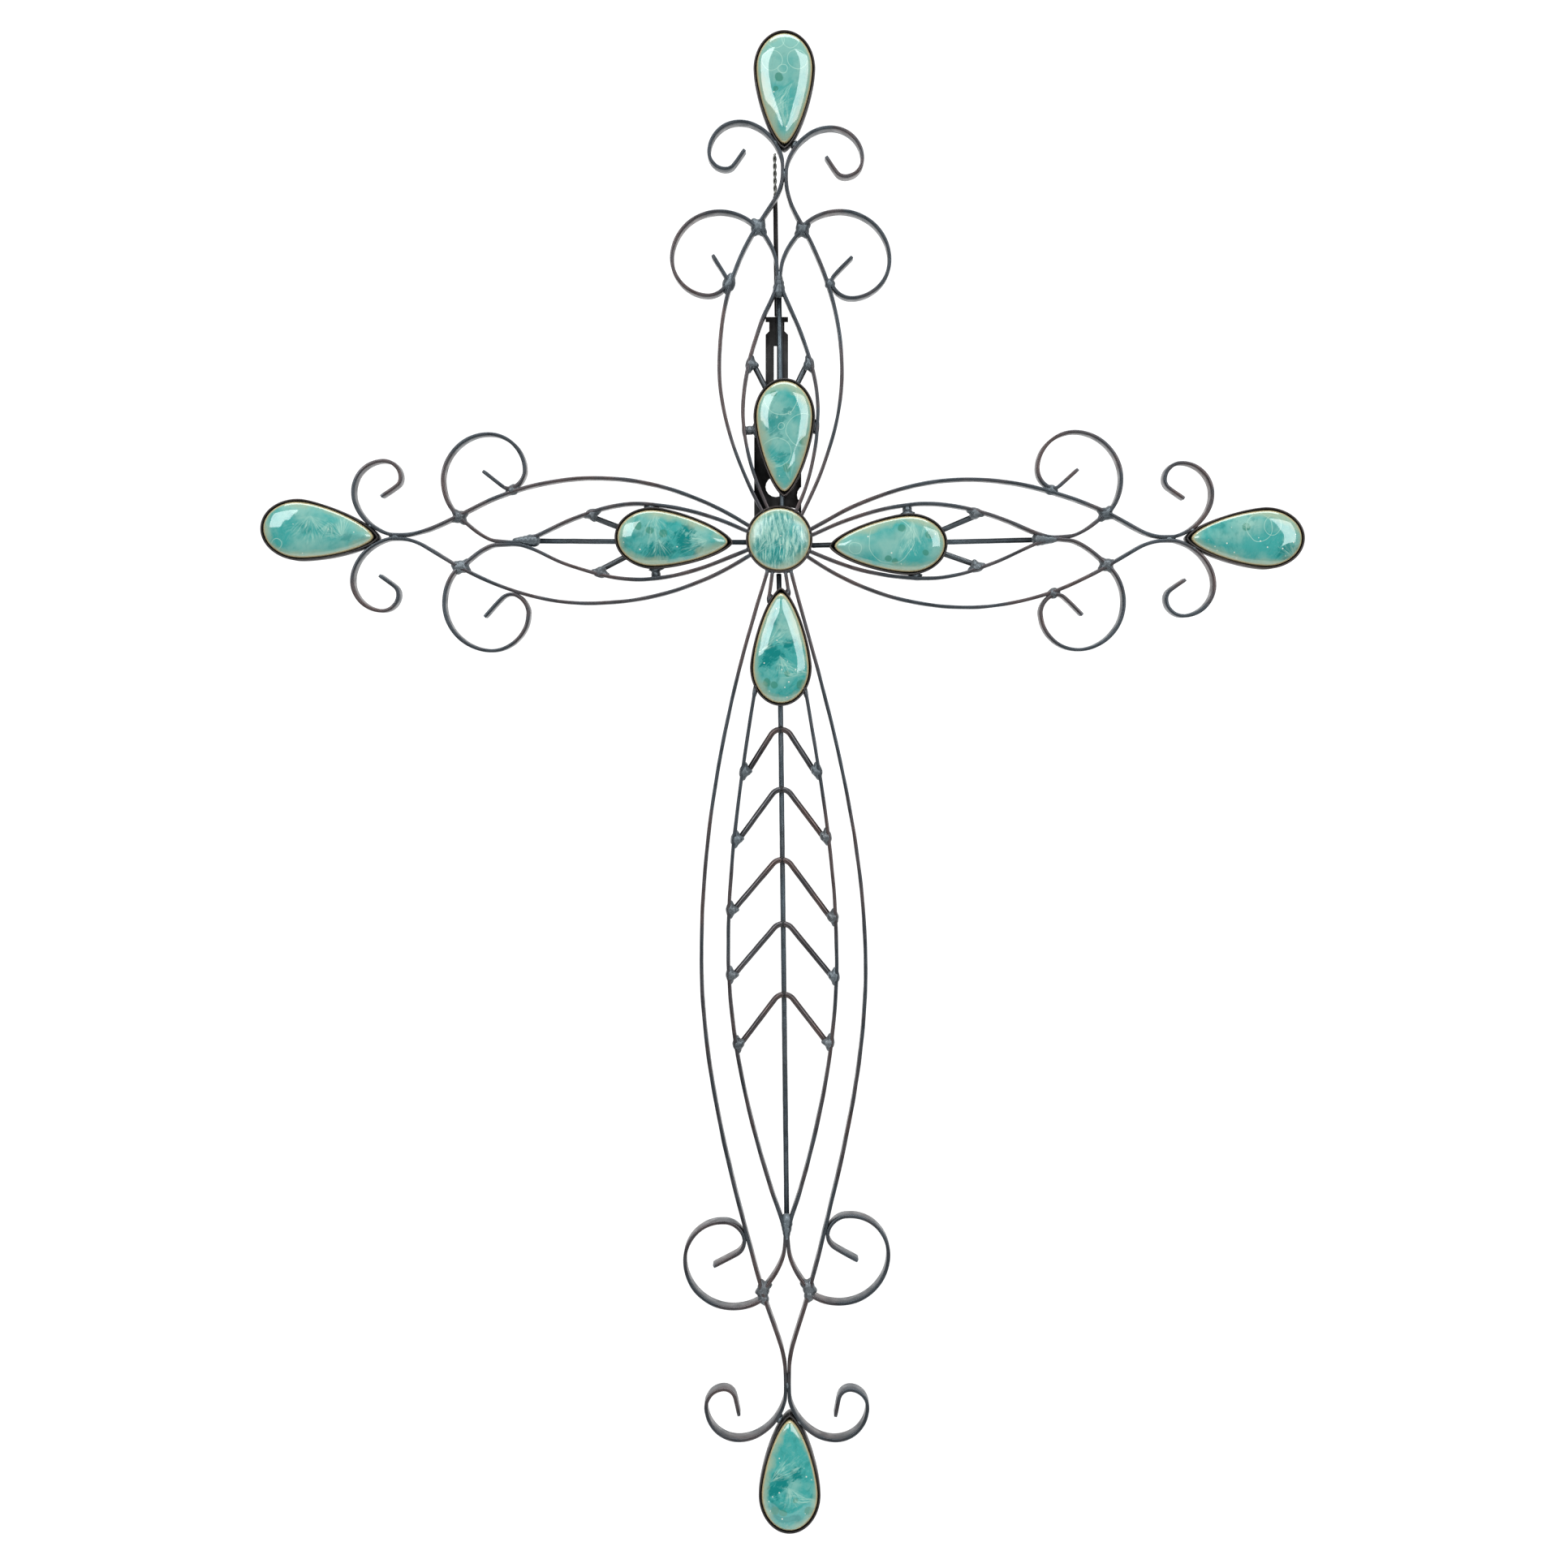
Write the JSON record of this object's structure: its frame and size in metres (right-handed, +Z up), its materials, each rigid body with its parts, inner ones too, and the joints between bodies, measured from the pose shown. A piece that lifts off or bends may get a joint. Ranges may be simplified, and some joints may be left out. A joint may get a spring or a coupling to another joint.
{
  "type": "metal wall cross",
  "caption": "Welded wrought-metal wall cross with petal-shaped arms, scrolled ends and glazed ceramic cabochons in metal cups, hung from a flat plate behind its upper arm.",
  "frame": {"origin": "on the back face of the hanger plate behind the upper arm, the face that lies on the wall, 54 mm above the middle of the hub", "axes": "+Z up along the cross, +X to the right seen from the front, +Y into the wall; the front faces -Y"},
  "size_m": [0.6351, 0.0196, 0.9141],
  "materials": {
    "strip_steel": "gunmetal patina on hot-rolled flat bar, satin, brown tints near the welds",
    "rod_steel": "blue-grey satin patina on round rod",
    "cup_steel": "dark burnt sheet with a lighter rubbed rim",
    "crystalline_glaze": "glossy turquoise crystalline glaze with a cream edge and feathery crystals",
    "hanger_steel": "dark brown scale",
    "twisted_wire": "light grey twisted wire"
  },
  "bodies": {
    "root": {"brace_left": "rod_steel", "brace_right": "rod_steel", "brace_top": "rod_steel", "chevron_1": "rod_steel", "chevron_2": "rod_steel", "chevron_3": "rod_steel", "chevron_4": "rod_steel", "chevron_5": "rod_steel", "cup_hub": "cup_steel", "cup_left_inner": "cup_steel", "cup_left_tip": "cup_steel", "cup_lower_inner": "cup_steel", "cup_lower_tip": "cup_steel", "cup_right_inner": "cup_steel", "cup_right_tip": "cup_steel", "cup_top_inner": "cup_steel", "cup_top_tip": "cup_steel", "hanger_plate": "hanger_steel", "hanger_rod": "hanger_steel", "hanger_wire": "twisted_wire", "rod_left": "rod_steel", "rod_lower": "rod_steel", "rod_right": "rod_steel", "rod_top": "rod_steel", "scroll_left_lower": "strip_steel", "scroll_left_upper": "strip_steel", "scroll_lower_left": "strip_steel", "scroll_lower_right": "strip_steel", "scroll_right_lower": "strip_steel", "scroll_right_upper": "strip_steel", "scroll_top_left": "strip_steel", "scroll_top_right": "strip_steel", "stone_hub": "crystalline_glaze", "stone_left_inner": "crystalline_glaze", "stone_left_tip": "crystalline_glaze", "stone_lower_inner": "crystalline_glaze", "stone_lower_tip": "crystalline_glaze", "stone_right_inner": "crystalline_glaze", "stone_right_tip": "crystalline_glaze", "stone_top_inner": "crystalline_glaze", "stone_top_tip": "crystalline_glaze", "strip_left_lower_inner": "strip_steel", "strip_left_lower_outer": "strip_steel", "strip_left_upper_inner": "strip_steel", "strip_left_upper_outer": "strip_steel", "strip_lower_left_inner": "strip_steel", "strip_lower_left_outer": "strip_steel", "strip_lower_left_root": "strip_steel", "strip_lower_right_inner": "strip_steel", "strip_lower_right_outer": "strip_steel", "strip_lower_right_root": "strip_steel", "strip_right_lower_inner": "strip_steel", "strip_right_lower_outer": "strip_steel", "strip_right_upper_inner": "strip_steel", "strip_right_upper_outer": "strip_steel", "strip_top_left_inner": "strip_steel", "strip_top_left_outer": "strip_steel", "strip_top_right_inner": "strip_steel", "strip_top_right_outer": "strip_steel"}
  },
  "joints": []
}
